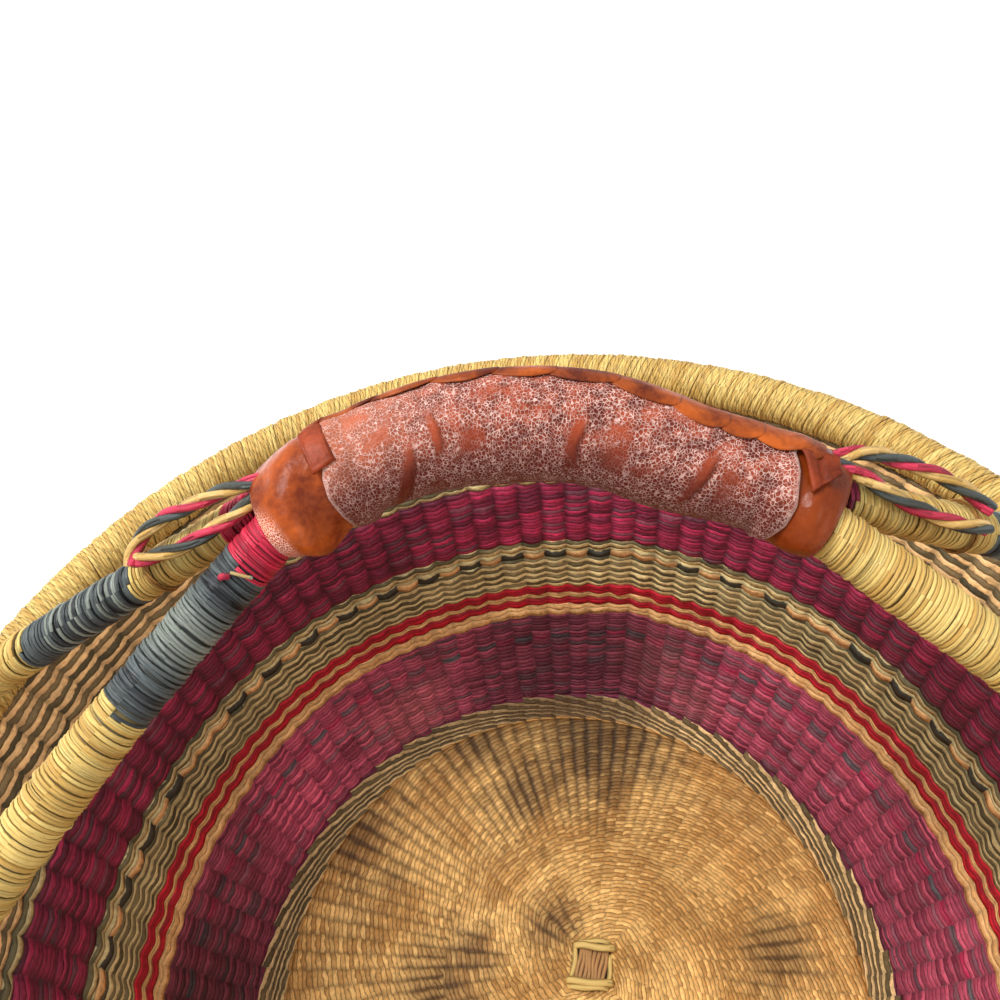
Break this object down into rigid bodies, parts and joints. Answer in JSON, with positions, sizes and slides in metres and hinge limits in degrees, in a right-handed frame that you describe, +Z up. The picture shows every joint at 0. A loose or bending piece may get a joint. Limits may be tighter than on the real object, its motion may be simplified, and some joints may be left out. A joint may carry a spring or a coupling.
{
  "type": "bolga basket",
  "caption": "Round twined straw market basket with coloured bands, a thick wrapped rim and a leaning leather-gripped handle on four straw legs.",
  "frame": {"origin": "middle of the underside of the floor, on the ground", "axes": "+Z up, X along the handle's hinge line, +Y towards the back, where the handle leans"},
  "size_m": [0.4065, 0.403, 0.2841],
  "materials": {
    "straw": "golden elephant grass straw, twined or wound, slightly glossy",
    "tan_straw": "tan straw",
    "olive_straw": "olive and tan straw in alternate strands",
    "plum_straw": "plum and magenta dyed straw",
    "red_straw": "red dyed straw",
    "crimson_straw": "crimson dyed straw",
    "grey_straw": "slate grey dyed straw",
    "checker_straw": "tan and black straw in short dashes",
    "cord_straw": "three-strand cord of red, tan and dark green straw",
    "sleeve_leather": "red-brown leather with a fine pale crackle",
    "collar_leather": "glossy orange-brown leather",
    "thong_leather": "dark brown leather thong"
  },
  "bodies": {
    "basket": {"floor_disc": "straw", "start_square": "straw", "olive_ring": "olive_straw", "lower_plum_band": "plum_straw", "stripe_tan_inner": "tan_straw", "stripe_red_inner": "red_straw", "stripe_tan_outer": "tan_straw", "stripe_red_outer": "red_straw", "olive_band": "olive_straw", "checker_row": "checker_straw", "olive_edge_row": "olive_straw", "upper_plum_band": "plum_straw", "olive_top_row": "olive_straw", "neck_band": "tan_straw", "rim_core": "straw", "rim_wrap": "straw", "rim_lashing_left_front": "tan_straw", "rim_lashing_left_rear": "tan_straw", "rim_lashing_right_front": "tan_straw", "rim_lashing_right_rear": "tan_straw"},
    "handle": {"grip_core": "straw", "leather_sleeve": "sleeve_leather", "collar_left": "collar_leather", "collar_right": "collar_leather", "lacing_strip": "collar_leather", "tab_left": "collar_leather", "tab_right": "collar_leather", "leg_left_front": "straw", "leg_left_rear": "straw", "leg_right_front": "straw", "leg_right_rear": "straw", "wrap_left_front_crimson": "crimson_straw", "wrap_left_front_grey": "grey_straw", "wrap_left_front_foot": "straw", "wrap_left_rear_crimson": "crimson_straw", "wrap_left_rear_tan": "straw", "wrap_left_rear_grey": "grey_straw", "wrap_left_rear_foot": "straw", "wrap_right_front_tan": "straw", "wrap_right_front_grey": "grey_straw", "wrap_right_front_foot": "straw", "wrap_right_rear_plum": "plum_straw", "wrap_right_rear_tan": "straw", "wrap_right_rear_grey": "grey_straw", "wrap_right_rear_foot": "straw", "cord_left_outer": "cord_straw", "cord_left_inner": "cord_straw", "tie_left": "thong_leather", "cord_right_outer": "cord_straw", "cord_right_inner": "cord_straw", "tie_right": "thong_leather"}
  },
  "joints": [
    {"name": "handle_swing", "type": "hinge", "parent": "basket", "child": "handle", "pos_m": [0, -0.015, 0.185], "axis": [-1, 0, 0], "range_deg": [-90, 15], "deforming": ["leg_left_front", "wrap_left_front_crimson", "wrap_left_front_grey", "wrap_left_front_foot", "leg_left_rear", "wrap_left_rear_crimson", "wrap_left_rear_tan", "wrap_left_rear_grey", "wrap_left_rear_foot", "leg_right_front", "wrap_right_front_tan", "wrap_right_front_grey", "wrap_right_front_foot", "leg_right_rear", "wrap_right_rear_plum", "wrap_right_rear_tan", "wrap_right_rear_grey", "wrap_right_rear_foot", "cord_left_outer", "cord_left_inner", "tie_left", "cord_right_outer", "cord_right_inner", "tie_right"]}
  ]
}
